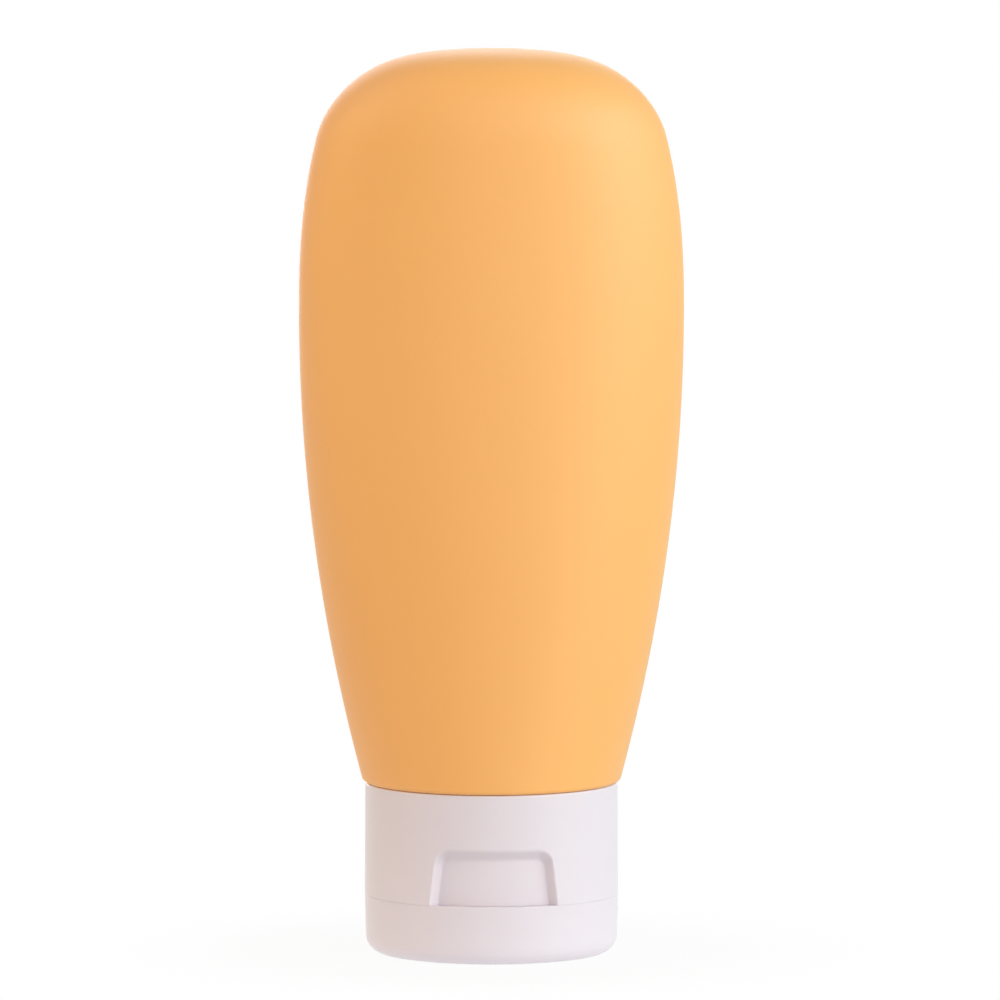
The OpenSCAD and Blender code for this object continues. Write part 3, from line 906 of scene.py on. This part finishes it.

# %% [markdown]
# ## Each piece goes with its body
# The finished pieces stand for the imported nodes and move with their bodies, all but the film, which is
# given no body and stays where it is built.

# %% Materials, bodies and the nodes that the pieces stand for
PIECES = [
    (bottle, body_plastic, "soft_body", "bottle_body", "bottle"),
    (base, cap_plastic, "cap_plastic", "cap_body", "cap_base"),
    (lid, cap_plastic, "cap_plastic", "lid_body", "lid"),
    (hinge, cap_plastic, "cap_plastic", None, "living_hinge"),
    (seal, ring_foam, "seal", "seal_body", "seal_ring")]
for piece, plastic, slot_name, body, stands_for in PIECES:
    piece.data.materials.append(plastic)
    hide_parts(stands_for)
    if body:
        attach(piece, body)
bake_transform(hinge)
print("pieces", [piece.name for piece, *_ in PIECES])

# %% [markdown]
# ## Light
# The bottle was photographed in a white tent. The light comes mostly from the right and the front, and what
# reaches the left side has been thrown back by something warm. Large soft panels stand round the bottle in
# the same places. One more stands low behind it, where it lights only the rims and the back. A small sharp
# lamp would draw a hard line on the satin skin, and the photograph has none.

# %% Light
BOTTLE_MIDDLE = 0, 0, 60
PANELS = [
    ("key_panel", (560, -420, 330), 520, 2.76, "#FAFFF6"),
    ("right_panel", (780, 0, 380), 600, 1.4, "#BAE8FF"),
    ("low_left_panel", (-800, -100, 250), 600, 1.46, "#FFC62E"),
    ("high_left_panel", (-700, -100, 600), 600, 1, "#FFFBF6"),
    ("front_panel", (80, -900, 560), 700, 2.2, "#FFF1F2"),
    ("back_panel", (-100, 800, 240), 700, 3, "#F4F4FF")]


def panel(name, place, size, power, colour):
    """A square soft panel that faces the middle of the bottle. Places are millimetres, power is in watts."""
    data = bpy.data.lights.new(name, "AREA")
    data.shape = "SQUARE"
    data.size = size * MM
    data.energy = power
    data.color = linear(colour)[:3]
    lamp = bpy.data.objects.new(name, data)
    lamp.location = Vector(place) * MM
    aim = Vector(BOTTLE_MIDDLE) * MM - lamp.location
    lamp.rotation_euler = aim.to_track_quat("-Z", "Y").to_euler()
    bpy.context.scene.collection.objects.link(lamp)
    return lamp


lamps = [panel(*values) for values in PANELS]
print("panels", [lamp.name for lamp in lamps])

# %% [markdown]
# ## White surroundings
# The photograph's background is pure white. The world is white to the camera, but gives the object only
# part of that light, so the plastic keeps its colour. What the satin skin mirrors is a tent too: bright
# behind the bottle, which leaves a thin pale rim all round, and dark in front, where the camera looks in.

# %% World
SURROUND = 0.34
OPENING = 0.16
OPENING_EDGES = -0.9, -0.3
world = bpy.data.worlds.new("white_tent")
bpy.context.scene.world = world
world.use_nodes = True
tree = world.node_tree
tree.nodes.clear()
ray = node(tree, "LightPath")
heading = node(tree, "SeparateXYZ", Vector=node(tree, "TexCoord").outputs["Generated"])
tent = node(tree, "MapRange", {"interpolation_type": "SMOOTHSTEP"}, Value=heading.outputs["Y"],
            From_Min=OPENING_EDGES[0], From_Max=OPENING_EDGES[1], To_Min=OPENING, To_Max=1)
lighting = node(tree, "MapRange", Value=ray.outputs["Is Glossy Ray"],
                To_Min=SURROUND, To_Max=tent.outputs[0])
straight = node(tree, "Math", {"operation": "MAXIMUM"},
                _0=ray.outputs["Is Camera Ray"], _1=ray.outputs["Is Transmission Ray"])
strength = node(tree, "Math", {"operation": "MAXIMUM"}, _0=lighting.outputs[0], _1=straight.outputs[0])
sky = node(tree, "Background", Color=linear("#FFFFFF"), Strength=strength.outputs[0])
node(tree, "OutputWorld", Surface=sky.outputs[0])
print("the tent gives the object", SURROUND, "of white, and its opening mirrors", OPENING)

# %% [markdown]
# The floor is white paper. To the camera it is lifted to pure white away from the bottle, and near the
# bottle it keeps the soft shadow. Close to the foot it also glows on the bottle, as a lit table does, so
# the rounded foot stays pale.

# %% Floor
FLOOR_HALF = 6000
SHADOW_NEAR = 22
SHADOW_FAR = 60
SHADOW_SHARE = 0.06
FLOOR_GLOW = 0.6
floor_mesh = bpy.data.meshes.new("floor")
floor_corners = np.array([[-1, -1, 0], [1, -1, 0], [1, 1, 0], [-1, 1, 0]]) * FLOOR_HALF * MM
floor_mesh.from_pydata(floor_corners.tolist(), [], [[0, 1, 2, 3]])
floor = bpy.data.objects.new("floor", floor_mesh)
bpy.context.scene.collection.objects.link(floor)
paper, tree = new_material("white_paper")
paper.cycles.emission_sampling = "NONE"
place = node(tree, "TexCoord").outputs["Object"]
away = node(tree, "VectorMath", {"operation": "LENGTH"}, _0=place)
close = node(tree, "MapRange", {"interpolation_type": "SMOOTHSTEP"}, Value=away.outputs["Value"],
             From_Min=SHADOW_NEAR * MM, From_Max=SHADOW_FAR * MM, To_Min=1, To_Max=0)
ray = node(tree, "LightPath")
mirrored = node(tree, "Math", {"operation": "MAXIMUM"},
                _0=ray.outputs["Is Glossy Ray"], _1=ray.outputs["Is Transmission Ray"])
straight = node(tree, "Math", {"operation": "MAXIMUM"},
                _0=ray.outputs["Is Camera Ray"], _1=mirrored.outputs[0])
bright = node(tree, "MapRange", Value=close.outputs[0], To_Min=1, To_Max=1 - SHADOW_SHARE)
lifted = node(tree, "Math", {"operation": "MULTIPLY"}, _0=straight.outputs[0], _1=bright.outputs[0])
glow = node(tree, "Math", {"operation": "MULTIPLY"}, _0=ray.outputs["Is Diffuse Ray"], _1=FLOOR_GLOW)
near = node(tree, "Math", {"operation": "MULTIPLY"}, _0=glow.outputs[0], _1=close.outputs[0])
amount = node(tree, "Math", {"operation": "MAXIMUM"}, _0=lifted.outputs[0], _1=near.outputs[0])
matt = node(tree, "BsdfDiffuse", Color=linear("#DADADA"))
white = node(tree, "Emission", Color=linear("#FFFFFF"), Strength=1)
mixed = node(tree, "MixShader", _0=amount.outputs[0], _1=matt.outputs[0], _2=white.outputs[0])
node(tree, "OutputMaterial", Surface=mixed.outputs[0])
floor_mesh.materials.append(paper)
print("floor", 2 * FLOOR_HALF, "mm wide")

# %% [markdown]
# ## Last lines
# Standard colour keeps the hex values as written.

# %% Finish
bpy.context.scene.view_settings.view_transform = "Standard"
